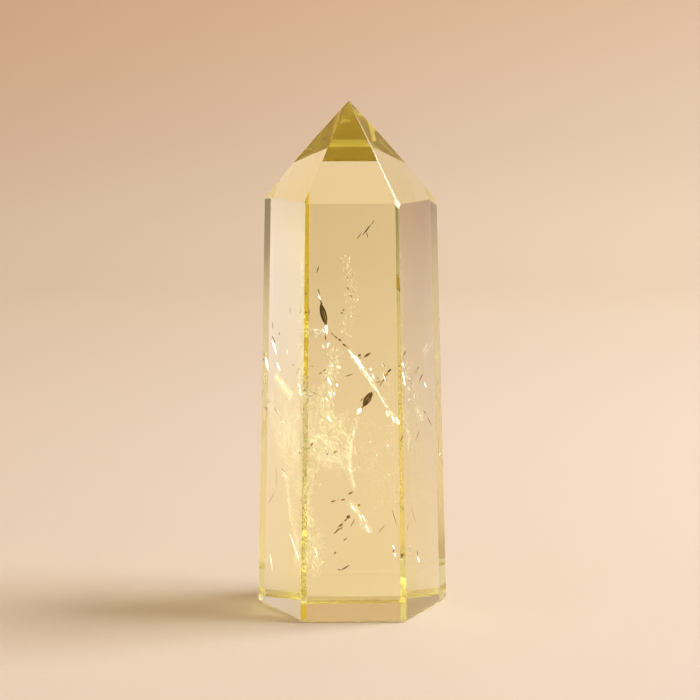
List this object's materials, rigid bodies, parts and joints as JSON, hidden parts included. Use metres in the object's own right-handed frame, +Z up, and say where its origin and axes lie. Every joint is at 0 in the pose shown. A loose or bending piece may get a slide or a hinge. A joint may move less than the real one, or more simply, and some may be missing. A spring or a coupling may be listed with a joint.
{
  "type": "citrine crystal point",
  "caption": "Polished clear yellow quartz point: a tapering six-sided tower with a faceted tip, standing on its flat ground base.",
  "frame": {"origin": "middle of the stone's outline, on the surface that its flat base stands on", "axes": "+Z up the tower to its tip, -Y out of the broad front side, +X to the right of that side"},
  "size_m": [0.0302, 0.0244, 0.0799],
  "materials": {
    "citrine": "polished clear"
  },
  "bodies": {
    "root": {"crystal_point": "citrine"}
  },
  "joints": []
}
